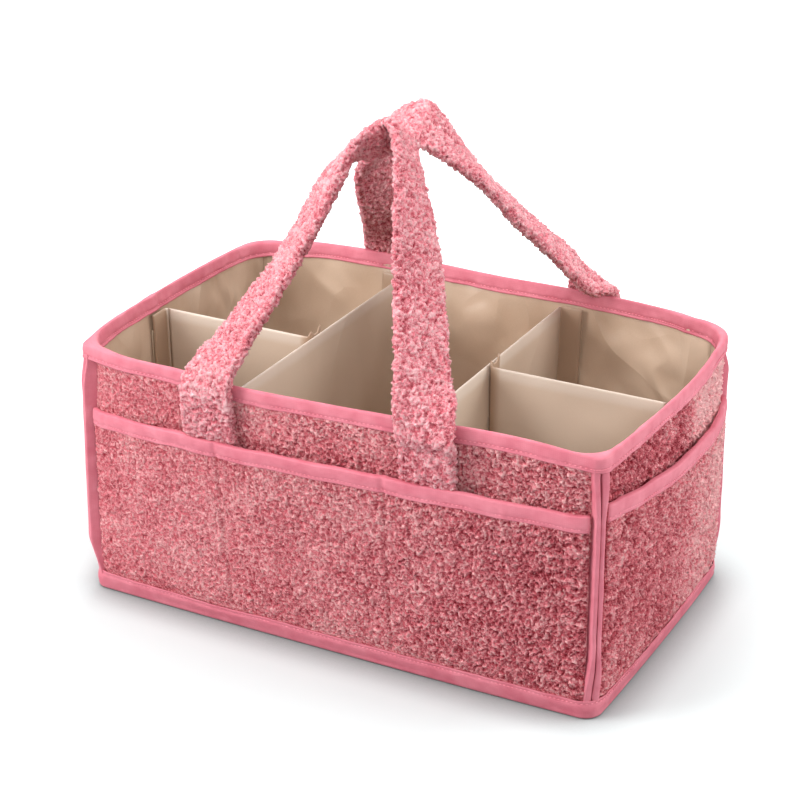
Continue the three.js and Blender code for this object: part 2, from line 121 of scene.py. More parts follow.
# ---- Numbers: smooth curves, noise and wool ----
def through(knots, values, at):
    """A smooth curve through given points: between two knots it is the cubic whose end slopes are
    those of the chords on either side (Catmull-Rom)."""
    knots, values = np.asarray(knots, float), np.asarray(values, float)
    slope = np.gradient(values, knots, axis=0)
    i = np.clip(np.searchsorted(knots, at, side="right") - 1, 0, len(knots) - 2)
    span = knots[i + 1] - knots[i]
    t = np.clip((at - knots[i]) / span, 0, 1)
    if values.ndim > 1:
        span, t = span[..., None], t[..., None]
    a, b, c = t * t * (3 - 2 * t), t * (1 - t) ** 2, t * t * (t - 1)
    return values[i] * (1 - a) + values[i + 1] * a + span * (b * slope[i] + c * slope[i + 1])


def ease(x, low, high):
    """0 below low, 1 above high, and 3t²-2t³ between them."""
    t = np.clip((x - low) / (high - low), 0, 1)
    return t * t * (3 - 2 * t)


def mix(a, b, share):
    """a at share 0 and b at share 1, in proportion between them."""
    return a + (b - a) * share


def bell(x, width):
    """1 at x = 0, falling on both sides as a bell curve of the given width."""
    return np.exp(-((x / width) ** 2))


def scatter(cell, seed):
    """Repeatable random numbers from 0 to 1 for whole-number cells: the three numbers are mixed
    with large odd factors and folded over themselves."""
    c = cell.astype(np.int64)
    mixed = c[..., 0] * 374761393 + c[..., 1] * 668265263 + c[..., 2] * 1103515245 + seed * 97787
    mixed = mixed & 0xFFFFFFFF
    mixed = ((mixed ^ (mixed >> 13)) * 1274126177) & 0xFFFFFFFF
    return ((mixed ^ (mixed >> 16)) & 0xFFFFFF) / 0x1000000


def waves(p, size, seed):
    """Smooth noise from -1 to 1: random numbers at the corners of cubic cells of the given size,
    blended across each cell by 3t²-2t³ in each direction."""
    q = p / size
    cell = np.floor(q)
    t = ease(q - cell, 0, 1)
    total = 0
    for corner in range(8):
        step = np.array([corner & 1, corner >> 1 & 1, corner >> 2 & 1])
        total = total + np.prod(np.where(step == 1, t, 1 - t), -1) * scatter(cell + step, seed)
    return 2 * total - 1


def tufts(p, size, seed):
    """Round tufts, 1 at the middle of each and falling with the square of the distance from it:
    every cubic cell has one middle at a random place, and the nearest one counts."""
    q = p / size
    cell = np.floor(q)
    nearest = np.full(q.shape[:-1], 9.0)
    for i in range(27):
        other = cell + np.array([i % 3 - 1, i // 3 % 3 - 1, i // 9 - 1])
        middle = other + np.stack([scatter(other, seed + k) for k in range(3)], -1)
        nearest = np.minimum(nearest, ((middle - q) ** 2).sum(-1))
    return np.clip(1 - nearest / 0.85, 0, 1)


def wool(p, size, seed):
    """Height of curled pile from 0 to 1: round tufts crossed by winding strands. A strand runs
    where swirled noise passes through zero, and the swirl comes from adding noise to the place."""
    swirl = np.stack([waves(p, size * 1.25, seed + k) for k in (11, 12, 13)], -1)
    q = p + swirl * size * 0.8
    strand = np.clip(1 - 2.6 * np.abs(waves(q, size * 1.05, seed + 20)), 0, 1)
    thin = np.clip(1 - 2.4 * np.abs(waves(q, size * 0.62, seed + 30)), 0, 1)
    return np.clip(0.42 * tufts(q, size * 1.2, seed + 40) + 0.42 * strand + 0.26 * thin, 0, 1)


# ---- The outline of the bag ----
def half_sizes(z):
    """Half the bag's length and half its depth at height z, before its walls bulge."""
    share = z / BODY_HEIGHT
    return (mix(BASE_HALF_LENGTH, RIM_HALF_LENGTH, share),
            mix(BASE_HALF_DEPTH, RIM_HALF_DEPTH, share))


def drawn_in(points):
    """The front left corner, pulled back and inwards by the strap's weight: a move that falls as a
    bell curve with the distance from the corner and grows with height."""
    away = (points[..., 0] + RIM_HALF_LENGTH) ** 2 + (points[..., 1] + RIM_HALF_DEPTH) ** 2
    share = np.exp(-away / 24.0 ** 2) * np.clip(points[..., 2] / BODY_HEIGHT, 0, 1) ** 1.3
    return points + share[..., None] * np.array([3.4, 2.5, 0.0])


def bag_point(wall, u, turn, out, z, radii=WALL_RADII):
    """A point `out` outside the plush of a wall, at share u along its straight part, at height z.
    The wall stands half the bag's depth (or length) away, plus a bulge that falls with |u|³ and
    the settled rim, both growing with height. Past the straight part it turns about a corner whose
    radius goes from the first row of `radii` to the second with height. Near the rim all layers
    are drawn together to half their width."""
    wall, u, turn, out, z = np.broadcast_arrays(wall, u, turn, out, z)
    share = z / BODY_HEIGHT
    up = np.clip(share, 0, 1)
    out = out + (-0.6 - out) * 0.58 * ease(z, 167, 183)
    long = wall % 2 == 0
    length, depth = half_sizes(z)
    bulge = mix(BASE_BULGE, np.where(long, RIM_BULGE_LONG, RIM_BULGE_END), share)
    rest = np.zeros(u.shape + (2,))
    for w, table in enumerate(SETTLED):
        rest = np.where((wall == w)[..., None], through(table[:, 0], table[:, 1:], u), rest)
    corner = np.where(u < 0, wall, (wall + 1) % 4)
    base_radii, rim_radii = np.array(radii, float)
    bend = np.maximum(mix(base_radii[corner], rim_radii[corner], up) + out, 0.8)
    away = np.where(long, depth, length) + bulge * (1 - np.abs(u) ** 3) + rest[..., 0] * up ** 1.5
    away = away + out + (np.cos(turn) - 1) * bend
    half = np.where(long, length, depth)
    straight = mix(half - CORNER_RADIUS, half + out - bend, np.abs(u) ** 4)
    along = u * straight + np.sin(turn) * bend
    flat = along[..., None] * ALONG[wall] + away[..., None] * OUTWARD[wall]
    return drawn_in(join([flat, (z + rest[..., 1] * up ** 2)[..., None]], -1))


def outward_of(wall, turn):
    """The level direction straight out of a wall, turned with its rounded corner."""
    wall, turn = np.broadcast_arrays(wall, turn)
    flat = np.cos(turn)[..., None] * OUTWARD[wall] + np.sin(turn)[..., None] * ALONG[wall]
    return join([flat, np.zeros(flat.shape[:-1] + (1,))], -1)


def wall_stations(wall, reach, step):
    """Places along one wall, as columns (wall, u, turn): the straight part in equal steps, and
    `reach` degrees of each rounded corner."""
    half = (RIM_HALF_LENGTH, RIM_HALF_DEPTH)[wall % 2] - CORNER_RADIUS
    us = np.linspace(-1, 1, int(np.ceil(2 * half / step)) + 1)
    bend = math.radians(reach)
    turns = np.linspace(0, bend, int(np.ceil(bend * CORNER_RADIUS / step)) + 1)[1:]
    u = join([np.full(len(turns), -1.0), us, np.full(len(turns), 1.0)])
    turn = join([-turns[::-1], np.zeros(len(us)), turns])
    return np.stack([np.full(len(u), float(wall)), u, turn], 1)


def split(stations):
    """The columns of a list of places, each ready to be crossed with a profile."""
    return stations[:, :1].astype(int), stations[:, 1:2], stations[:, 2:]


def ring(step):
    """Places all the way round the bag, wall after wall, each with half of its two corners."""
    return split(join([wall_stations(w, 45, step)[1:] for w in range(4)]))


# ---- Meshes ----
def running(points, axis=0, close=False):
    """Distance run along a grid of points in one direction, averaged over the other."""
    if close:
        points = join([points, points.take([0], axis)], axis)
    steps = np.linalg.norm(np.diff(points, axis=axis), axis=-1).mean(1 - axis)
    return join([[0], np.cumsum(steps)])


def along_of(points):
    """Unit direction from each place of a row to the next."""
    run = np.gradient(points, axis=0)
    return run / np.linalg.norm(run, axis=-1, keepdims=True)


def into_scene(mesh, material):
    """An object for a finished mesh, with its material."""
    mesh.materials.append(material)
    made = bpy.data.objects.new(mesh.name, mesh)
    bpy.context.scene.collection.objects.link(made)
    return made


def piece(name, grid, material, node=None, body="bag", closed=False, mark=None):
    """A closed form from grid[i, j], point j round section i, that stands for a node and rides on
    a body. The last section joins the first if `closed`, and otherwise both end sections get a
    face. The faces are turned outwards by the sign of the volume they enclose. The UV map holds
    the distance run along and round the form, in metres. `mark` is a number at each point that the
    finishes read: the height of pile, with painted light and shade added on the walls and
    pockets, or 1 on a tab, which its finish paints in shade."""
    n, m = grid.shape[:2]
    i, j = np.meshgrid(np.arange(n if closed else n - 1), np.arange(m), indexing="ij")
    i2, j2 = (i + 1) % n, (j + 1) % m
    quads = np.stack([i * m + j, i * m + j2, i2 * m + j2, i2 * m + j], -1).reshape(-1, 4)
    along, round_ = running(grid, 0, closed) * MM, running(grid, 1, True) * MM
    u = np.stack([along[i], along[i], along[i + 1], along[i + 1]], -1).reshape(-1, 4)
    v = np.stack([round_[j], round_[j + 1], round_[j + 1], round_[j]], -1).reshape(-1, 4)
    points = grid.reshape(-1, 3)
    a, b, c, d = (points[quads[:, k]] for k in range(4))
    six = (np.cross(a, b) * c).sum() + (np.cross(a, c) * d).sum()
    caps = np.zeros((0, m), int)
    if not closed:
        caps = np.stack([np.arange(m)[::-1], (n - 1) * m + np.arange(m)])
        for cap in caps:
            fan = points[cap]
            six += (np.cross(fan[:1], fan[1:-1]) * fan[2:]).sum()
    if six < 0:
        quads, caps, u, v = quads[:, ::-1], caps[:, ::-1], u[:, ::-1], v[:, ::-1]
    mesh = bpy.data.meshes.new(name)
    mesh.vertices.add(n * m)
    mesh.vertices.foreach_set("co", (points * MM).astype(np.float32).ravel())
    loops = join([quads.ravel(), caps.ravel()]).astype(np.int32)
    sizes = join([np.full(len(quads), 4), np.full(len(caps), m)])
    starts = join([[0], np.cumsum(sizes)[:-1]])
    mesh.loops.add(len(loops))
    mesh.loops.foreach_set("vertex_index", loops)
    mesh.polygons.add(len(sizes))
    mesh.polygons.foreach_set("loop_start", starts.astype(np.int32))
    mesh.polygons.foreach_set("use_smooth", sizes == 4)
    uv = join([np.stack([u.ravel(), v.ravel()], 1), points[caps.ravel()][:, 1:] * MM])
    mesh.uv_layers.new(name="cloth").data.foreach_set("uv", uv.astype(np.float32).ravel())
    if mark is not None:
        mesh.attributes.new("mark", "FLOAT", "POINT").data.foreach_set(
            "value", mark.astype(np.float32).ravel())
    mesh.update(calc_edges=True)
    mesh.validate()
    made = into_scene(mesh, material)
    if node:
        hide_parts(node)
    if body:
        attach(made, body)
    return made


def stitches(name, row, away):
    """Sewing thread: at every point of a row one small rounded bar along the row, sunk against the
    direction `away`. Across the bar the section is a hexagon, and its rings swell from the tips as
    the root of the sine of the run."""
    run = np.array([0.08, 0.3, 0.5, 0.7, 0.92])
    swell = (np.sin(np.pi * run) ** 0.5 * THREAD_WIDTH / 2)[:, None]
    turn = np.arange(6) * np.pi / 3
    ahead = along_of(row)
    side = np.cross(ahead, away)
    rings = ((row - away * 0.3)[:, None, None]
             + ((run - 0.5) * THREAD_LENGTH)[None, :, None, None] * ahead[:, None, None]
             + (swell * np.cos(turn))[None, ..., None] * away[:, None, None]
             + (swell * np.sin(turn))[None, ..., None] * side[:, None, None])
    base = np.arange(len(row))[:, None, None] * rings[0, ..., 0].size
    r, k = np.meshgrid(np.arange(4) * 6, np.arange(6), indexing="ij")
    k2 = (k + 1) % 6
    quads = base + np.stack([r + k, r + k2, r + 6 + k2, r + 6 + k], -1).reshape(1, -1, 4)
    ends = [base[:, 0] + np.arange(5, -1, -1), base[:, 0] + np.arange(24, 30)]
    mesh = bpy.data.meshes.new(name)
    mesh.from_pydata((rings.reshape(-1, 3) * MM).tolist(), [],
                     quads.reshape(-1, 4).tolist() + join(ends).tolist())
    mesh.update(calc_edges=True)
    mesh.polygons.foreach_set("use_smooth", np.ones(len(mesh.polygons), bool))
    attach(into_scene(mesh, thread), "bag")


# ---- Finishes ----
def paint(code):
    """A colour written as sRGB hex, made linear."""
    parts = [int(code[k:k + 2], 16) / 255 for k in (1, 3, 5)]
    return [c / 12.92 if c <= 0.04045 else ((c + 0.055) / 1.055) ** 2.4 for c in parts] + [1.0]


def feed(tree, node, inputs):
    """Fills a node's inputs: a socket is linked, a value is set."""
    for key, value in inputs.items():
        if isinstance(value, bpy.types.NodeSocket):
            tree.links.new(value, node.inputs[key])
        else:
            node.inputs[key].default_value = value


def add(tree, kind, settings, inputs):
    """Adds one node with its settings and its inputs, and gives its outputs."""
    made = tree.nodes.new("ShaderNode" + kind)
    for key, value in settings.items():
        setattr(made, key, value)
    feed(tree, made, inputs)
    return made.outputs


def maths(tree, operation, *values, clamp=False):
    """One sum on up to three values."""
    return add(tree, "Math", {"operation": operation, "use_clamp": clamp},
               dict(enumerate(values)))[0]


def scaled(tree, value, factor, rest, clamp=False):
    """A value times a factor, plus the rest."""
    return maths(tree, "MULTIPLY_ADD", value, factor, rest, clamp=clamp)


def noise(tree, place, size, detail, roughness=0.5, **more):
    """Noise whose largest lumps are about `size` metres."""
    return add(tree, "TexNoise", {}, {"Vector": place, "Scale": 1 / size, "Detail": detail,
                                      "Roughness": roughness, **more})


def ramp(tree, value, *stops):
    """The colour that goes with a value; each stop is a place and a colour."""
    made = tree.nodes.new("ShaderNodeValToRGB")
    feed(tree, made, {"Fac": value})
    elements = made.color_ramp.elements
    for place, (at, code) in enumerate(stops):
        stop = elements[place] if place < len(elements) else elements.new(at)
        stop.position, stop.color = at, paint(code)
    return made.outputs["Color"]


def bump(tree, height, strength, distance):
    """The shader's normal tilted by a height."""
    return add(tree, "Bump", {}, {"Height": height, "Strength": strength,
                                  "Distance": distance})["Normal"]


def empty_tree(owner):
    """The node tree of a material or a world, emptied."""
    owner.use_nodes = True
    owner.node_tree.nodes.clear()
    return owner.node_tree


def finish(name, build):
    """A new material: build(tree, place, mark) gives what goes into its Principled shader. `place`
    is the point in the piece's own space and `mark` the number that the mesh holds there."""
    made = bpy.data.materials.new(name)
    tree = empty_tree(made)
    shader = tree.nodes.new("ShaderNodeBsdfPrincipled")
    add(tree, "OutputMaterial", {}, {"Surface": shader.outputs[0]})
    place = add(tree, "TexCoord", {}, {})["Object"]
    mark = add(tree, "Attribute", {"attribute_name": "mark"}, {})["Fac"]
    feed(tree, shader, build(tree, place, mark))
    return made


def boucle(name, pit_painted_shade, low, high, tip, blush, loop):
    """Looped polyester pile, curled and crisp: loops `loop` mm across stand side by side, and over
    them run bright strands, where swirled noise passes through its middle value (1 less its
    distance from there). Height adds up the mesh's own pile, the loops, the strands and the yarn,
    0.5 mm thick and drawn at 0.9 mm so that it shows. Colour goes from deep to light with height:
    painted shade in the pits and painted highlights on the tips and strands, together with the
    painted light and shade that the mesh's mark carries on the walls. The lay of the pile shifts
    it over tens of millimetres."""
    def build(tree, place, pile):
        curled = add(tree, "VectorMath", {"operation": "MULTIPLY_ADD"}, {
            0: noise(tree, place, 0.0024, 1.0, 0.6)["Color"], 1: (0.0034,) * 3, 2: place})[0]
        loops = add(tree, "TexVoronoi", {"feature": "F1"}, {
            "Vector": curled, "Scale": 1 / (loop * MM)})["Distance"]
        swirled = noise(tree, curled, loop * MM * 0.85, 1.0, 0.6)["Fac"]
        off = maths(tree, "ABSOLUTE", maths(tree, "SUBTRACT", swirled, 0.5))
        strands = scaled(tree, off, -13.0, 1.0, True)
        yarn = noise(tree, place, 0.0009, 2.0, 0.6)["Fac"]
        relief = scaled(tree, loops, -0.34, 0.34)
        relief = scaled(tree, strands, 0.32, relief)
        relief = scaled(tree, yarn, 0.25, relief)
        height = scaled(tree, pile, 0.6, relief)
        lay = noise(tree, place, 0.034, 2.0, 0.6)["Fac"]
        height = scaled(tree, lay, 0.38, height)
        height = maths(tree, "SUBTRACT", height, 0.33, clamp=True)
        # Painted shade: the deepest colour sits in the pits. Painted highlights: the lightest
        # colour sits on the tips and strands.
        stops = (0.12, pit_painted_shade), (0.34, low), (0.56, high), (0.82, tip)
        return {"Base Color": ramp(tree, height, *stops),
                "Normal": bump(tree, relief, 1.0, 0.0013), "Roughness": 0.85,
                "Specular IOR Level": 0.1, "Sheen Weight": 0.06, "Sheen Roughness": 0.5,
                "Sheen Tint": paint(blush)}
    return finish(name, build)


def woven(name, low, high, thread, roughness, sheen, grain=0.3, relief=0.00012):
    """Plain-woven cloth: two sets of threads, each `thread` mm wide, cross at right angles along
    the piece's own UV map, and the dyeing varies a little over tens of millimetres."""
    def build(tree, place, _):
        flat = add(tree, "UVMap", {"uv_map": "cloth"}, {})["UV"]
        warp, weft = (add(tree, "TexWave", {"bands_direction": axis}, {
            "Vector": flat, "Scale": 0.314 / (thread * MM) / 2, "Distortion": 0.4,
            "Detail": 1.0})["Fac"] for axis in "XY")
        weave = maths(tree, "MULTIPLY", warp, weft)
        dye = noise(tree, place, 0.012, 3.0)["Fac"]
        shade = scaled(tree, weave, grain, dye, True)
        return {"Base Color": ramp(tree, shade, (0.3, low), (0.85, high)),
                "Normal": bump(tree, weave, 0.5, relief), "Roughness": roughness,
                "Sheen Weight": sheen, "Sheen Roughness": 0.4, "Sheen Tint": paint(high)}
    return finish(name, build)


def crumpled(name, low, high, tab, roughness, crease, depth):
    """Thin smooth-faced lining cloth. Soft folds about `crease` metres long and, between them,
    crisp small creases (ridged noise) throw broad highlights. The colour follows the soft folds,
    paler on their tops and deeper between them: painted light and shade. Tabs (mark 1) take a
    browner colour, painted shade, as they lie in shadow against the walls; hems (mark below 0)
    are paler where the cloth is double."""
    def build(tree, place, mark):
        turned = add(tree, "Mapping", {}, {
            "Vector": place, "Rotation": (0.3, 0.5, 0.2), "Scale": (1.0, 1.6, 0.8)})[0]
        folds = noise(tree, turned, crease, 1.5, 0.45, Distortion=0.3)["Fac"]
        creases = add(tree, "TexNoise", {"noise_type": "RIDGED_MULTIFRACTAL"}, {
            "Vector": turned, "Scale": 0.6 / crease, "Detail": 1.0, "Roughness": 0.4,
            "Gain": 1.0, "Offset": 1.0})["Fac"]
        grain = noise(tree, place, 0.0008, 1.0)["Fac"]
        shade = scaled(tree, grain, 0.12, folds, True)
        # Painted light and shade: the colour is paler on the tops of the soft folds and deeper
        # between them.
        colour = ramp(tree, shade, (0.35, low), (0.8, high))
        # Tabs take the browner colour `tab`, which is painted shade. Hems take the paler colour.
        for share, code in ((mark, tab), (maths(tree, "MULTIPLY", mark, -1.0), "#dcd9d4")):
            colour = add(tree, "Mix", {"data_type": "RGBA"}, {
                "Factor": share, 6: colour, 7: paint(code)})[2]
        height = scaled(tree, creases, 0.5, folds)
        return {"Base Color": colour, "Normal": bump(tree, height, 0.8, depth),
                "Roughness": roughness, "Sheen Weight": 0.1, "Sheen Tint": paint(high)}
    return finish(name, build)


# Pile of the walls and pockets. The straps have longer pile, and their copy of the finish is
# lighter: painted light, as the straps stand higher, nearer the lamps.
wall_boucle = boucle("rose_boucle_pile", "#86202c", "#c0525d", "#e8858e", "#ffc2c2", "#ffc8c4",
                     1.8)
strap_boucle_painted_light = boucle("rose_boucle_strap_pile_painted_light", "#8a2431", "#cb606c", "#f08f9a", "#ffc6ca",
                      "#ffd0d0", 1.9)
# Satin-faced polyester tape, pressed smooth: threads about 0.3 mm apart are drawn at 0.6 mm.
binding_tape = woven("rose_polyester_tape", "#c86475", "#dc818f", 0.6, 0.65, 0.25, grain=0.1,
                     relief=0.00005)
thread = woven("rose_sewing_thread", "#e07b8b", "#f19aa8", 0.5, 0.6, 0.1)
# Nylon taffeta lining, slightly glossy, the same laid flat over the base board, and the paler
# coated cloth of the dividers.
# The third colour of each is the tabs' painted shade.
taffeta = crumpled("beige_nylon_taffeta", "#b99e86", "#d7bfa8", "#a58a73", 0.3, 0.045, 0.009)
floor_taffeta = crumpled("beige_nylon_taffeta_flat", "#b99e86", "#d7bfa8", "#a58a73", 0.4, 0.06,
                         0.003)
divider_cloth = crumpled("pale_coated_nylon", "#bda894", "#d0beab", "#a88c75", 0.4, 0.09, 0.004)
# Grey board inside the cloth, hook tape of moulded nylon, brushed loop tape, felted base cloth.
board_finish = woven("grey_packing_board", "#b9b3a7", "#cdc8bd", 1.5, 0.9, 0.0)
hook_finish = woven("beige_hook_tape", "#b7a48e", "#d2c1ab", 1.2, 0.7, 0.0, relief=0.0005)
loop_finish = woven("beige_loop_tape", "#b19c84", "#cbb79f", 0.8, 0.95, 0.4, relief=0.0004)
base_felt = woven("rose_base_cloth", "#b9616e", "#cf7a86", 1.0, 0.95, 0.2)


# ---- Walls ----
# Size of a tuft on each wall, and how far pile of full height stands.
WOOL, WOOL_STAND = (1.9, 2.4, 2.1, 2.0), 3.0


def layer(name, node, wall, reach, inner, outer, rows, step, material, folded=False):
    """A flat layer of a wall from bottom to top, `inner` to `outer` from the plush's face."""
    w, u, turn = split(wall_stations(wall, reach, step))
    z = np.linspace(WALL_BOTTOM, WALL_TOP, rows)[None]
    outside, inside = (bag_point(w, u, turn, out, z) for out in (outer, inner))
    if folded:
        inside = inside + outward_of(w, turn) * slack(wall, u, z, inside)[..., None]
    piece(name, join([outside, inside[:, ::-1]], 1), material, node)


def slack(wall, u, z, p):
    """How far the lining moves at its points p, because it hangs a little slack: long slanting
    folds up to 4 mm deep, none near the rim, the floor, the corners or the dividers' tapes."""
    run, tall = p[..., 0] + p[..., 1], p[..., 2]
    slant = np.stack([run + tall * 0.8, (tall - run * 0.8) * 0.3, 3.0 * wall + 0 * run], -1)
    fold = np.clip(1 - 2.6 * np.abs(waves(slant, 30, 60 + wall)), 0, 1)
    soft = waves(p, 52, 70 + wall) * 0.5
    calm = ease(z, 30, 60) * ease(z, 172, 150) * ease(np.abs(u), 1, 0.9)
    for at in TAPED[wall]:
        calm = calm * ease(np.abs(p[..., wall % 2] - at), 13, 30)
    return -np.clip(fold + soft, 0, 1.5) * 2.4 * calm


def curled(name, node, place, face, back, shown, seed, front_painted_shading, end_painted_shading):
    """Plush with curled pile on its outer face, where `shown`, and a plain back. The pile stands
    fuller from the bag's left to its right. Its colour holds painted light and shade: painted
    shade deepens it past the middle of the front wall, and it is painted darker near the front of
    the right end and lighter toward its back. Each pair holds this tone before and after that
    change."""
    w, u, turn = place
    wall = w[0, 0]
    full = mix(0.75, 1.35, ease(face[..., 0], -RIM_HALF_LENGTH, RIM_HALF_LENGTH))
    pile = (wool(face, WOOL[wall], seed + wall) - 0.5) * full
    face = face + outward_of(w, turn) * (pile * WOOL_STAND * shown)[..., None]
    # Painted light and shade, added to the pile's mark that sets its colour.
    tone = 0.5
    if wall == 0:
        tone = mix(*front_painted_shading, ease(face[..., 0], 40, 125))
    if wall == 1:
        tone = mix(*end_painted_shading, ease(face[..., 1], 0, 38))
    mark = join([pile + tone, np.full(back.shape[:2], 0.4)], 1)
    piece(name, join([face, back], 1), wall_boucle, node, mark=mark)


def plush_panel(wall):
    """The plush of one wall, curled above where the pocket hides it."""
    name = WALL_NAMES[wall]
    place = split(wall_stations(wall, 38, 0.75))
    hidden = 112 if wall % 2 else 118
    z = join([np.linspace(WALL_BOTTOM, hidden, 8)[:-1], np.arange(hidden, 173, 0.75),
              np.linspace(173, WALL_TOP, 5)])[None]
    back = bag_point(*place, -PLUSH, np.linspace(WALL_TOP, WALL_BOTTOM, 6)[None])
    shown = ease(z, hidden, hidden + 3) * ease(z, 174, 171)
    # The last two pairs: painted shade past the middle of the front wall, and painted light and
    # shade along the right end.
    curled(f"{name}_boucle_wall", f"{name}_plush_panel", place, bag_point(*place, 0.0, z), back,
           shown, 5, (0.5, 0.46), (0.14, 0.82))


def pocket_height(wall, u):
    """Height of a pocket's top edge: a smooth curve through the measured heights."""
    x = u * np.where(wall < 2, 1, -1)
    long, end = (through(*np.transpose(line), x) for line in (POCKET_LINE, END_POCKET_LINE))
    return np.where(wall % 2 == 0, long, end)


def pocket_run(wall, u):
    """Distance along a long wall from its middle, counted from the bag's left."""
    return u * (RIM_HALF_LENGTH - CORNER_RADIUS) * np.where(wall == 0, 1, -1)


def pocket_stand(wall, u, share):
    """How far a pocket's inner face stands off the plush, from its foot (share 0) to its mouth
    (share 1). A long pocket is full between its sewn seams; an end pocket gapes in its middle."""
    half, x = RIM_HALF_LENGTH - CORNER_RADIUS, pocket_run(wall, u)
    marks = np.array([-half, *POCKET_SEAMS, half])
    i = np.clip(np.searchsorted(marks, x, side="right") - 1, 0, 2)
    part = np.clip((x - marks[i]) / (marks[i + 1] - marks[i]), 0, 1)
    swell = POCKET_SWELL * np.sin(np.pi * part) ** 0.7
    mouth = mix(POCKET_MOUTH, POCKET_EDGE, ease(np.abs(u), 0.65, 1))
    long = mix(GAP, mouth, share) + swell * np.clip(3 * share, 0, 1)
    end = mix(GAP, POCKET_EDGE + (END_POCKET_MOUTH - POCKET_EDGE) * (1 - u * u), share)
    return np.where(wall % 2 == 0, long, end)


def seam_press(wall, u):
    """How far a pocket is drawn in by its upright seams: most on a seam, and gone 3 mm from it."""
    x = pocket_run(wall, u)
    near = np.minimum(np.abs(x - POCKET_SEAMS[0]), np.abs(x - POCKET_SEAMS[1]))
    return SEAM_DEPTH * np.where(wall % 2 == 0, bell(near, 1.5), 0)


def pocket(wall):
    """One outside pocket: curled pile outside, drawn in along its upright seams and its foot."""
    name = WALL_NAMES[wall]
    w, u, _ = place = split(wall_stations(wall, POCKET_REACH, 0.72))
    top = pocket_height(w, u)
    rise, inside = np.linspace(0, 1, 168)[None], np.linspace(1, 0, 7)[None]
    stand = pocket_stand(w, u, rise) - seam_press(w, u) * ease(rise, 0, 0.05)
    z = mix(POCKET_BOTTOM, top, rise)
    cloth = mix(0.7, PLUSH, ease(z, POCKET_BOTTOM, POCKET_BOTTOM + 8))
    back = bag_point(*place, pocket_stand(w, u, inside), mix(POCKET_BOTTOM, top, inside))
    shown = ease(rise, 0.005, 0.04) * ease(top * (1 - rise), 8, 12)
    # The last two pairs: painted shade past the middle of the front pocket, and painted light and
    # shade along the right end pocket.
    curled(f"{name}_boucle_pocket", f"{name}_pocket", place, bag_point(*place, cloth + stand, z),
           back, shown, 15, (0.5, 0.34), (0.28, 0.58))


for side, name in enumerate(WALL_NAMES):
    plush_panel(side)
    pocket(side)
    layer(f"{name}_wall_stiffener", f"{name}_wall_board", side, 0, BOARD_INNER, BOARD_OUTER,
          10, 12, board_finish)
    layer(f"{name}_taffeta_lining", f"{name}_lining", side, 44.9, LINING_INNER, LINING_OUTER,
          72, 2.6, taffeta, True)


# ---- Bindings ----
def folded_tape(low, high, inner, outer, rounds):
    """Section of a tape folded over an edge, as rows (out, height): up the outer side, over a
    round top and down the inner side, then back one tape's thickness in. The top is the upper half
    of a cubed ellipse, so that it is full rather than peaked."""
    def skin(inset):
        half, middle = (outer - inner) / 2 - inset, (outer + inner) / 2
        crown = rounds - inset
        a = np.linspace(0, np.pi, 15)
        over = np.stack([middle + half * np.sign(np.cos(a)) * np.abs(np.cos(a)) ** 0.67,
                         high - rounds + crown * np.sin(a) ** 0.67], 1)
        up = np.linspace(low, high - rounds, 13)[:-1]
        rise = np.stack([np.full(12, middle + half), up], 1)
        fall = np.stack([np.full(12, middle - half), up[::-1]], 1)
        return join([rise, over, fall])
    return join([skin(0), skin(TAPE * 0.8)[::-1]]).T[:, None]


def puckered(points, outward, height, low, seed):
    """Tape after sewing: a crown across its face, a groove along the stitch line and small waves
    beside it, and a slow waver along its length."""
    lift = height - low - STITCH_AT
    groove = -0.4 * bell(lift, 0.7)
    crown = 0.35 * np.sin(np.pi * np.clip(lift / 7.5, 0, 1))
    small = waves(points, 4.0, seed) * 0.42 * bell(lift, 3.0) + waves(points, 2.6, seed + 3) * 0.12
    long = waves(points, 21, seed + 1) * 0.45 + waves(points, 9, seed + 2) * 0.25
    return points + outward * (groove + crown + small + long)[..., None]


def rim_binding():
    """Tape folded over the rim, outside and inside, with a lapped joint on the left wall."""
    low, outer = BODY_HEIGHT - TAPE_SHOWN, GAP + TAPE
    out, z = folded_tape(low, BODY_HEIGHT + 0.3, RIM_INNER, outer, 2.4)
    w, u, turn = place = ring(1.5)
    outside = ((out - RIM_INNER) / (outer - RIM_INNER))[..., None]
    points = mix(bag_point(*place, out, z), bag_point(*place, out, z, RIM_RADII), outside)
    side = np.sign(out + 2.4) * np.clip(np.abs(out + 2.4) / 3, 0, 1)
    waver = waves(bag_point(*place, 0.0, 170.0), 16, 81) * 0.5
    points[..., 2] += waver * ease(z, 181, 172)
    points = puckered(points, outward_of(w, turn) * side[..., None], z, low, 83)
    lap = ease(np.where(w == 3, u * 101, -99), 18.0, 18.8) * ease(u * 101, 33, 30)
    points = points + outward_of(w, turn) * (side * lap * 0.7)[..., None]
    piece("rim_tape", points, binding_tape, "rim_binding", closed=True)
    w, _, turn = place = ring(STITCH_PITCH)
    for name, out, radii, sign in (("outer", outer + 0.05, RIM_RADII, 1),
                                   ("inner", RIM_INNER - 0.05, WALL_RADII, -1)):
        row = bag_point(*place, out, low + STITCH_AT, radii)[:, 0]
        stitches(f"rim_stitching_{name}", row, outward_of(w, turn)[:, 0] * sign)


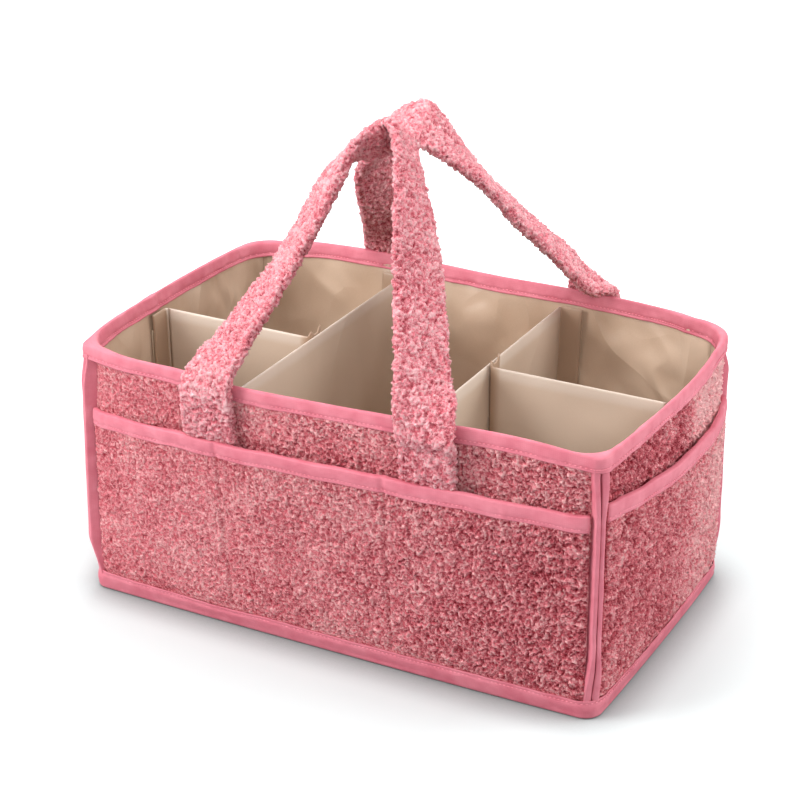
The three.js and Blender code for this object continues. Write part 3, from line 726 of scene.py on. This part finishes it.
def pocket_binding(wall):
    """Tape folded over a pocket's mouth; it dips where the upright seams cross it."""
    name = WALL_NAMES[wall]

    def lay_out(reach, step, out, rise):
        """Points of the tape `out` from the pocket's inner face, `rise` above the tape's foot."""
        w, u, turn = place = split(wall_stations(wall, reach, step))
        top = pocket_height(w, u)
        z = top - TAPE_SHOWN + rise
        share = np.clip((z - POCKET_BOTTOM) / (top - POCKET_BOTTOM), 0, 1)
        points = bag_point(*place, pocket_stand(w, u, share) - seam_press(w, u) + out, z)
        points[..., 2] += waves(bag_point(*place, 0.0, top), 17, 91 + wall) * 0.6
        return points, outward_of(w, turn)

    outer = PLUSH + GAP + TAPE
    out, rise = folded_tape(0.0, TAPE_SHOWN + TAPE + GAP, -GAP - TAPE, outer, 2.0)
    points, away = lay_out(POCKET_REACH + 0.5, 1.4, out, rise)
    side = np.clip((out - 1.0) / 2, -1, 1)
    points = puckered(points, away * side[..., None], rise, 0.0, 93 + wall)
    piece(f"{name}_pocket_tape", points, binding_tape, f"{name}_pocket_binding")
    row, away = lay_out(POCKET_REACH - 3, STITCH_PITCH, outer, STITCH_AT)
    stitches(f"{name}_pocket_stitching", row[:, 0], away[:, 0])


def base_binding():
    """Tape round the foot of the bag: up over the foot of the pockets outside, leaning out a
    little, and a little way under the base."""
    outer, under, low = GAP + TAPE, LINING_INNER - 3, 2.0
    bend = np.linspace(0, np.pi / 2, 8)
    levels = np.linspace(BASE_TAPE_TOP, 0.2 + low, 16)
    lean = 1.1 * ease(levels, 4, 12)
    outside = np.stack([outer + lean, levels], 1)[:-1]
    corner = np.stack([outer - low + low * np.cos(bend), 0.2 + low - low * np.sin(bend)], 1)
    tail = np.array([[-4, 0.2], [under, 0.2], [under, 1.0], [-4, 1.0]])
    turn_in = np.stack([outer - low + (low - TAPE) * np.cos(bend[::-1]),
                        0.2 + low - (low - TAPE) * np.sin(bend[::-1])], 1)
    back = np.stack([GAP + lean, levels], 1)[-2::-1]
    out, z = join([outside, corner, tail, turn_in, back]).T[:, None]
    w, _, turn = place = ring(1.5)
    points = mix(bag_point(*place, out, z, BASE_RADII), bag_point(*place, out, z),
                 0.6 * ease(z, 5, 13)[..., None])
    lift = np.clip(waves(points, 55, 105), 0, 1) * 2.0
    points[..., 2] += lift * ease(z, 5, 1) * ease(out, -3, 0)
    points[..., 2] += (waves(points, 15, 101) * 0.5 + waves(points, 43, 102) * 1.3) * ease(z, 4, 11)
    away = outward_of(w, turn) * ease(z, 1.5, 4)[..., None]
    points = puckered(points, away, BASE_TAPE_TOP - z, 0.0, 103)
    piece("base_tape", points, binding_tape, "base_binding", closed=True)
    w, _, turn = place = ring(STITCH_PITCH)
    at = outer + 1.0, BASE_TAPE_TOP - STITCH_AT
    row = mix(bag_point(*place, *at, BASE_RADII), bag_point(*place, *at), 0.5)[:, 0]
    stitches("base_stitching", row, outward_of(w, turn)[:, 0])


def corner_fin(corner, end, seed):
    """One bound seam allowance standing out at a corner, along the diagonal: a full strip with a
    round edge, pressed against its twin along a narrow groove, on the side of the long wall or of
    the end wall. Where the base's and the rim's tapes take it in, it reaches less far, is thicker
    and leans away from its twin. Corners are counted front left, front right, back right, back
    left."""
    place = ("front_left", "front_right", "back_right", "back_left")[corner]
    sx, sy = ((-1, -1), (1, -1), (1, 1), (-1, 1))[corner]
    z = np.linspace(BINDING_HEIGHT - 1.5, BODY_HEIGHT - 6.5, 124)[:, None]
    tuck = (1.9, 2.0, 4.2, 4.2)[corner]
    reach = (2.6 + 5.2 * ease(z, 7, 42) - tuck * ease(z, 152, 173)) * (1.22 if corner == 0 else 1)
    low, high = ease(z, 55, 12), ease(z, 138, 170)
    thick, lean = 3.1 + 1.7 * low + 1.3 * high, 0.1 * (low + high)
    root, edge = -1.4, 1.0
    bend = np.linspace(-np.pi / 2, np.pi / 2, 13)
    rise = np.linspace(0, 1, 9)[:-1]
    share = join([rise, np.ones(13), rise[::-1]])[None]
    tip = join([np.zeros(8), np.cos(bend), np.zeros(8)])[None]
    face = join([np.full(8, -1.0), np.sin(bend), np.full(8, 1.0)])[None]
    along = root + (reach - edge - root) * share + edge * tip
    across = 0.12 + thick / 2 * (1 + face) + lean * np.clip(along, 0, None)
    spot = np.stack(np.broadcast_arrays(along * 0.6, face * 9.0, z), -1)
    across = across + face * (waves(spot, 6, seed) * 0.2 + waves(spot, 23, seed + 1) * 0.35)
    along = along + waves(spot, 13, seed + 2) * 0.35 * share
    radius = mix(float(WALL_RADII[0][corner]), float(WALL_RADII[1][corner]), z / BODY_HEIGHT)
    length, depth = half_sizes(z)
    out = (radius + along) / math.sqrt(2)
    over = (1 if end == "long" else -1) * across / math.sqrt(2)
    points = np.stack(np.broadcast_arrays(sx * (length - radius + out - over),
                                          sy * (depth - radius + out + over), z), -1)
    piece(f"{place}_corner_tape_{end}", drawn_in(points), binding_tape,
          f"{place}_corner_binding_{end}")


rim_binding()
base_binding()
for side in range(4):
    pocket_binding(side)
for corner in range(4):
    corner_fin(corner, "long", 120 + 10 * corner)
    corner_fin(corner, "end", 125 + 10 * corner)


# ---- Base ----
def base_plate(name, node, out, z0, z1, material):
    """A flat plate with the bag's outline, drawn in by `out`, its edge slightly rounded."""
    place = ring(6)
    sections = []
    for less, share in ((0.3, 0), (0, 0.3), (0, 0.7), (0.3, 1)):
        section = bag_point(*place, out - less, z0, BASE_RADII)[:, 0]
        section[:, 2] = mix(z0, z1, share)
        sections.append(section)
    piece(name, np.stack(sections), material, node)


base_plate("base_felt", "base_underside_cloth", LINING_INNER - 3 - GAP, 0.0, 1.0, base_felt)
base_plate("base_stiffener", "base_board", LINING_INNER - GAP, 1.3, 4.3, board_finish)
base_plate("base_taffeta", "base_lining", LINING_INNER - GAP, 4.6, 5.2, floor_taffeta)


# ---- Dividers ----
def lining_at(wall, across, z):
    """How far out the lining's face is, less a clearance, at a distance `across` along a wall."""
    u = across * ALONG[wall].sum() / (half_sizes(z)[wall % 2] - CORNER_RADIUS)
    return np.abs(bag_point(wall, u, 0.0, LINING_INNER - GAP, z)[..., 1 - wall % 2])


def upright(name, node, body, place, half, seed=None, peak=0.0):
    """Cloth, or board where there is no seed, standing upright along a plan line. place(z) gives
    the line's points at heights z, and half its half thickness along the line; cloth is a tab
    where half is under 0.7. The section goes up one face, over a round top, down the other and
    under. A seam 7 mm below the top draws the cloth's faces in, and above it the hem narrows to the
    fold. The top edge stands `peak` higher along the line."""
    if seed is None:
        top, bottom, finish = DIVIDER_TOP - 2, DIVIDER_BOTTOM + 1, board_finish
        levels = np.linspace(bottom, top, 3)
    else:
        top, bottom, finish = DIVIDER_TOP, DIVIDER_BOTTOM, divider_cloth
        levels = np.linspace(bottom + 1.2, top - 1.6, 46)
    bend = np.linspace(0, np.pi, 9)[1:-1]
    z = join([levels, top - 1.6 + 1.6 * np.sin(bend), levels[::-1],
              bottom + 1.2 - 1.2 * np.sin(bend)])
    flat = np.ones(len(levels))
    face = join([flat, np.cos(bend), -flat, -np.cos(bend)])
    line = place(z[None])
    run = np.gradient(line, axis=0)
    across = np.stack([run[..., 1], -run[..., 0]], -1)
    across = across / np.linalg.norm(across, axis=-1, keepdims=True)
    points = join([line, np.broadcast_to(z[None, :, None], line.shape[:2] + (1,))], -1)
    points[..., 2] += np.broadcast_to(peak, len(line))[:, None] * ease(z, top - 9, top)
    thick = half[:, None] * face
    sleeve = ease(half[:, None], 0.8, 1.3)
    if seed is not None:
        calm = ease(z, bottom, bottom + 14) * ease(z, top, top - 12)
        wave = (waves(points, 34, seed) + waves(points, 13, seed + 1) * 0.25) * 0.5
        hem = -0.55 * bell(z - (top - 7), 0.8) - 0.75 * ease(z, top - 6, top)
        thick = thick + (wave * calm + face * hem) * sleeve
    points[..., :2] = points[..., :2] + across * thick[..., None]
    # The mark is 1 on tabs, where the finish paints shade, and below 0 on the hem.
    tab = ease(half, 1.0, 0.7)[:, None] - 0.2 * sleeve * ease(z, top - 8, top - 6)
    return piece(name, points, finish, node, body, mark=tab)


def strip_on_wall(name, node, corners_at, finish):
    """An upright tape strip with four slightly cut plan corners, given at heights z as the ranges
    of x and of y that its sides span."""
    z = np.linspace(STRIP_BOTTOM, STRIP_TOP, 14)
    across, out = corners_at(z[:, None])
    x0, x1, y0, y1 = np.broadcast_arrays(*across, *out)
    corners = np.stack([join([x0, x1, x1, x0], 1), join([y0, y0, y1, y1], 1)], -1)
    after = np.roll(corners, -1, 1)
    cut = np.stack([mix(corners, after, 0.03), mix(corners, after, 0.97)], 2).reshape(len(z), 8, 2)
    points = join([cut, np.broadcast_to(z[:, None, None], (len(z), 8, 1))], -1)
    piece(name, points, finish, node, frame["nodes"][node]["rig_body"])


def divider(name, toward, cross_x, wing_y, seed):
    """One T-shaped divider: a cross panel between the long walls and a wing to the end wall, both
    board in a cloth sleeve with tabs that fasten to the lining."""
    stack = 2 * GAP + 2 * STRIP
    quarter = np.linspace(0, np.pi / 2, 7)
    at_start, at_end = np.zeros(14), np.ones(14)

    def side(x):
        return cross_x + toward * x

    def board(panel, body, line_at):
        upright(f"{name}_{panel}_stiffener", f"{name}_{panel}_board", body, line_at,
                np.full(12, DIVIDER_BOARD / 2))

    def strips(panel, end, corners):
        """The hook strip on a tab, and the loop strip on the wall beyond it."""
        for kind, stand, margin, finish in (("hook", GAP, 2, hook_finish),
                                            ("loop", 2 * GAP + STRIP, 1, loop_finish)):
            strip_on_wall(f"{name}_{panel}_{kind}_tape{end}", f"{name}_{panel}_{kind}_strip{end}",
                          lambda z: corners(z, stand, margin), finish)

    # The cross panel: a tab along the front wall, round a bend, across the bag, and back to a tab.
    turn = 2.4
    tab_end = SLEEVE_HALF + TAB_LENGTH
    reach = [lambda z, w=w: lining_at(w, side(tab_end), z) - stack for w in (0, 2)]
    far_x, near_x = np.linspace(tab_end, turn, 8)[:-1], turn * (1 - np.sin(quarter))
    x = side(join([far_x, near_x, np.zeros(54), near_x[::-1], far_x[::-1]]))
    tab, inset = np.full(7, TAB_HALF), TAB_HALF + turn * (1 - np.cos(quarter))
    inset = join([tab, inset, np.full(54, TAB_HALF + turn), inset[::-1], tab])
    part = join([at_start, np.linspace(0, 1, 56)[1:-1], at_end])

    def cross_line(z, x=x[:, None], inset=inset[:, None], part=part[:, None]):
        y = mix(-reach[0](z) + inset, reach[1](z) - inset, part)
        return np.stack(np.broadcast_arrays(x, y), -1)

    upright(f"{name}_cross_cloth", f"{name}_cross_sleeve", f"{name}_divider", cross_line,
            TAB_HALF + ease(inset, 0.7, 3.0), seed)
    board("cross", f"{name}_divider",
          lambda z: cross_line(z, float(cross_x), 4.0, np.linspace(0, 1, 12)[:, None]))
    for end, sign, room in (("_front", -1, reach[0]), ("_back", 1, reach[1])):
        strips("cross", end, lambda z, stand, margin: (
            (side(-SLEEVE_HALF + margin), side(tab_end - margin)),
            (sign * (room(z) + stand), sign * (room(z) + stand + STRIP))))

    # The wing: a sewn tab on the cross panel, round a bend, out to the end wall, and a tab there.
    turn = 2.2
    start, middle = 2.3, 2.3 + turn
    wall = 1 if toward > 0 else 3
    tip = wing_y - SLEEVE_HALF - TAB_LENGTH

    def wing_reach(z):
        return lining_at(wall, tip, z) - stack

    sewn = np.linspace(wing_y + TAB_LENGTH - SLEEVE_HALF, wing_y + turn, 8)[:-1]
    near = join([np.full(7, start), start + turn * (1 - np.cos(quarter)), np.full(58, middle)])
    y = join([sewn, wing_y + turn * (1 - np.sin(quarter)), np.full(44, wing_y),
              wing_y - turn * (1 - np.cos(quarter)), np.linspace(wing_y - 2.4, tip, 8)[1:]])
    inset = join([at_start, np.full(44, TAB_HALF + turn),
                  TAB_HALF + turn * (1 - np.sin(quarter)), tab])
    part = join([at_start, np.linspace(0, 1, 45)[1:], at_end])
    half = TAB_HALF + (ease(side(near) * toward + part * 100, side(middle) * toward + 0.5,
                            side(middle) * toward + 6) * ease(y, wing_y - turn, wing_y))

    def wing_line(z, near=side(near)[:, None], y=y[:, None], inset=inset[:, None],
                  part=part[:, None]):
        x = mix(near, toward * (wing_reach(z) - inset), part)
        return np.stack(np.broadcast_arrays(x, y), -1)

    # The sewn tab's two upper corners stick up as small ears.
    ears = sum(high * bell(y - wing_y - at, 2.0) for high, at in ((4.5, 13), (3.5, 2)))
    made = upright(f"{name}_wing_cloth", f"{name}_wing_sleeve", None, wing_line, half, seed + 5,
                   ears * (part == 0) * ease(near, 4.6, 3.0))
    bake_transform(made)
    board("wing", f"{name}_wing",
          lambda z: wing_line(z, side(8.0), float(wing_y), 4.0, np.linspace(0, 1, 12)[:, None]))
    strips("wing", "", lambda z, stand, margin: (
        (toward * (wing_reach(z) + stand), toward * (wing_reach(z) + stand + STRIP)),
        (tip + margin, wing_y + SLEEVE_HALF - margin)))


divider("left", -1, -66.0, -14.0, 200)
divider("right", 1, 57.0, -2.0, 220)


# ---- Straps ----
# Centre line and width direction of each strap (three numbers each), from left foot to right.
FRONT_STRAP = np.array([
    (-76.6, -129.6, 177, 1, -.03, 0), (-76, -126.5, 186, .96, -.26, -.05),
    (-71.6, -105.3, 202.7, .87, -.48, .12), (-59.7, -81.2, 230.3, .76, -.63, .13),
    (-46.2, -62.5, 260.3, .66, -.74, .11), (-35.4, -51.4, 287.8, .65, -.75, .09),
    (-29.6, -42.8, 303.5, .62, -.76, .21), (-22.9, -34, 313.7, .42, -.78, .46),
    (-14.5, -26, 318.3, .30, -.64, .71), (-7.9, -18.5, 321.4, .18, -.71, .68),
    (-2, -15.5, 325, -.12, -.86, .45), (5.1, -20.9, 322, -.08, -.70, .72),
    (12.6, -29.8, 314.6, -.04, -.73, .69), (19.6, -38.6, 304.7, -.08, -.78, .62),
    (26.6, -48.6, 292.7, -.18, -.86, .48), (34.3, -59.4, 273.4, -.31, -.88, .36),
    (41, -69, 254.9, -.44, -.82, .37), (53.1, -88.4, 231.3, -.55, -.75, .35),
    (65.5, -110.1, 205.3, -.70, -.67, .27), (75.5, -126.5, 186, -.98, -.13, .02),
    (76.5, -129.6, 177, -1, -.03, 0)])
BACK_STRAP = np.array([
    (-84, 130.6, 177, 1, .03, 0), (-83, 127, 187, .96, .15, -.22),
    (-74.9, 114.1, 205.8, .92, .39, -.04), (-66.9, 93.2, 231.9, .76, .59, .27),
    (-59.2, 70.3, 256.9, .56, .70, .45), (-51.8, 49.6, 281.4, .31, .83, .46),
    (-35.5, 36, 304.5, .02, .85, .53), (-17, 28.5, 316, .01, .87, .49),
    (-9, 29.5, 318.5, -.08, .9, .43), (-1.5, 32.5, 313, -.2, .92, .35),
    (9.6, 38.9, 301, -.44, .87, .24), (19.8, 50.3, 284.5, -.60, .79, .13),
    (30.8, 59.8, 267.5, -.61, .79, .03), (41.1, 68, 253.5, -.56, .83, .06),
    (53.8, 77.7, 237.7, -.59, .80, .14), (65.5, 91.9, 219.5, -.62, .72, .31),
    (73.6, 110.3, 201, -.68, .61, .41), (75.3, 124.5, 193, -.9, .2, .4),
    (75.3, 130, 183, -1, .05, .12), (75.5, 130.6, 177, -1, .03, 0)])


def bar_section(width, thick, edge, step):
    """Outline of a flat bar with round edges, walked in equal steps, and its outward direction.
    Each quarter is a quarter circle at the corner between two straight runs."""
    a = np.linspace(0, np.pi / 2, 9)
    quarter = [((1, 1), 0), ((-1, 1), np.pi / 2), ((-1, -1), np.pi), ((1, -1), 1.5 * np.pi)]
    dense = join([np.stack([sx * (width / 2 - edge) + edge * np.cos(a + turn),
                            sy * (thick / 2 - edge) + edge * np.sin(a + turn)], 1)
                  for (sx, sy), turn in quarter])
    dense = join([dense, dense[:1]])
    run = running(dense[:, None])
    at = np.linspace(0, run[-1], int(run[-1] / step) + 1)[:-1]
    points = np.stack([np.interp(at, run, dense[:, k]) for k in (0, 1)], 1)
    ahead = np.roll(points, -1, 0) - np.roll(points, 1, 0)
    away = np.stack([ahead[:, 1], -ahead[:, 0]], 1)
    return points, away / np.linalg.norm(away, axis=1, keepdims=True)


def carrying_strap(name, knots, wall, feet, seed):
    """A strap of two plush faces over soft filling, in one piece from foot to foot. The centre line
    and the width direction are smooth curves through measured points; the feet go from under the
    pocket up to the rim, flat on the plush. The section is a flat bar with a slight crown, thin
    where it is sewn; curled pile stands on it."""
    z = np.array([109, 118, 127, 136, 145, 153, 161, 169.0])
    out = np.array([2.6, 2.6, 2.6, 2.8, 4.4, 5.5, 5.9, 6.2])
    u = np.outer(feet, ALONG[wall][0] / (half_sizes(z)[0] - CORNER_RADIUS))
    left, right = bag_point(wall, u, 0.0, out, z)
    line = join([left, knots[:, :3], right[::-1]])
    across = join([[(1, 0, 0)] * len(z), knots[:, 3:], [(-1, 0, 0)] * len(z)])
    reach = running(line[:, None])
    step = 0.85
    at = np.linspace(0, reach[-1], int(reach[-1] / step))
    centre, width = through(reach, line, at), through(reach, across, at)
    centre = np.stack([np.convolve(np.pad(centre[:, k], 3, mode="reflect", reflect_type="odd"),
                                   np.hanning(9)[1:-1] / np.hanning(9).sum(), "valid")
                       for k in range(3)], 1)
    ahead = along_of(centre)
    width = width - (width * ahead).sum(1, keepdims=True) * ahead
    width /= np.linalg.norm(width, axis=1, keepdims=True)
    normal = np.cross(ahead, width)
    bar, away = bar_section(STRAP_WIDTH, STRAP_THICKNESS, 2.7, step)
    free = ease(centre[:, 2], 136, 149)[:, None]
    full = mix(SEWN_STRAP / STRAP_THICKNESS, 1, free)
    crown = 0.7 * np.sign(bar[:, 1]) * (1 - (2 * bar[:, 0] / STRAP_WIDTH) ** 2) * free
    thick = bar[None, :, 1] * full + crown
    points = (centre[:, None] + width[:, None] * bar[None, :, :1]
              + normal[:, None] * thick[..., None])
    out = width[:, None] * away[None, :, :1] + normal[:, None] * away[None, :, 1:]
    pile = wool(points, 2.2, seed) - 0.5
    clump = tufts(points, 5.5, seed + 60) - 0.4
    soft = waves(points, 24, seed + 50) * 0.6
    lift = (pile * 3.5 + clump * 0.9) * ease(points[..., 2], 132, 140) + soft * free
    # The mark gives the pile's height, which the finish turns into painted shade in the pits and
    # painted highlights on the tips.
    made = piece(f"{name}_strap_plush", points + out * lift[..., None], strap_boucle_painted_light,
                 body=None, mark=np.clip(0.5 + pile * 1.2 + clump * 0.15, 0, 1))
    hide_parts(f"{name}_strap_arch", f"{name}_strap_foot_left", f"{name}_strap_foot_right")
    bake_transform(made)


carrying_strap("front", FRONT_STRAP, 0, (-77.0, 76.5), 301)
carrying_strap("back", BACK_STRAP, 2, (-84.0, 75.5), 361)


# ---- Floor, light and camera ----
def stage_floor():
    """A pale floor with a painted contact shadow: its colour deepens within 3 cm of what stands on
    it. For the camera it also glows, the more the further from the object, so that it runs out
    into white and keeps only the object's soft shadow."""
    made = bpy.data.materials.new("pale_studio_floor")
    tree = empty_tree(made)
    # Painted contact shadow: the colour darkens where ambient occlusion finds something within 3
    # cm.
    near = add(tree, "AmbientOcclusion", {"samples": 8}, {"Distance": 0.03})["AO"]
    tone = ramp(tree, near, (0.3, "#7a7f7f"), (0.95, "#cbd2d2"))
    place = add(tree, "TexCoord", {}, {})["Object"]
    away = add(tree, "VectorMath", {"operation": "DISTANCE"}, {
        0: place, 1: (-0.08, -0.07, 0.0)})["Value"]
    level = add(tree, "MapRange", {}, {"Value": away, "From Min": 0.2, "From Max": 0.8,
                                       "To Min": 0.13, "To Max": 1.4})["Result"]
    seen = maths(tree, "MULTIPLY", add(tree, "LightPath", {}, {})["Is Camera Ray"], level)
    both = add(tree, "AddShader", {}, {
        0: add(tree, "BsdfDiffuse", {}, {"Color": tone})[0],
        1: add(tree, "Emission", {}, {"Color": tone, "Strength": seen})[0]})[0]
    add(tree, "OutputMaterial", {}, {"Surface": both})
    mesh = bpy.data.meshes.new("studio_floor")
    mesh.from_pydata([(-30, -30, 0), (30, -30, 0), (30, 30, 0), (-30, 30, 0)], [], [(0, 1, 2, 3)])
    into_scene(mesh, made)


def sky():
    """Even white surroundings: full white where the camera or a reflection looks, dimmer as
    light."""
    world = bpy.data.worlds.new("studio_surroundings")
    tree = empty_tree(world)
    path = add(tree, "LightPath", {}, {})
    seen = maths(tree, "MAXIMUM", path["Is Camera Ray"], path["Is Glossy Ray"])
    seen = maths(tree, "MAXIMUM", seen, path["Is Transmission Ray"])
    level = scaled(tree, seen, 0.68, 0.32)
    back = add(tree, "Background", {}, {"Color": paint("#ffffff"), "Strength": level})[0]
    add(tree, "OutputWorld", {}, {"Surface": back})
    bpy.context.scene.world = world


def turned_object(name, data, place, heading):
    """A lamp or a camera at a place in metres, facing along a heading."""
    made = bpy.data.objects.new(name, data)
    made.location = place
    made.rotation_euler = Vector(heading).to_track_quat("-Z", "Y").to_euler()
    bpy.context.scene.collection.objects.link(made)
    return made


def softbox(name, place, target, size, power):
    """A square studio lamp, turned to its target and unseen by the camera."""
    lamp = bpy.data.lights.new(name, "AREA")
    lamp.shape, lamp.size, lamp.energy = "SQUARE", size, power
    turned_object(name, lamp, place, Vector(target) - Vector(place)).visible_camera = False


def camera():
    """The photograph's viewpoint: a long lens, a little above and to the right of the front."""
    lens = bpy.data.cameras.new("photo_camera")
    lens.sensor_width, lens.lens = 36.0, 97.82
    bpy.context.scene.camera = turned_object("photo_camera", lens, (0.60824, -1.17176, 0.73353),
                                             (-0.4237, 0.8061, -0.4130))


stage_floor()
sky()
for name, place, target, size, power in (
        ("key", (-1.0, -0.95, 0.85), (0, 0, 0.1), 0.8, 20.5),
        ("top", (-0.15, -0.1, 1.35), (0, 0, 0.1), 1.0, 13),
        ("right", (1.15, 0.5, 0.65), (0.15, 0, 0.1), 0.7, 10.5),
        ("front", (0.95, -1.15, 1.0), (0.1, 0, 0.15), 0.6, 7),
        ("back", (-0.6, 1.5, 0.9), (0, 0, 0.1), 0.8, 10)):
    softbox(f"{name}_softbox", place, target, size, power)
camera()
bpy.context.scene.view_settings.view_transform = "Standard"
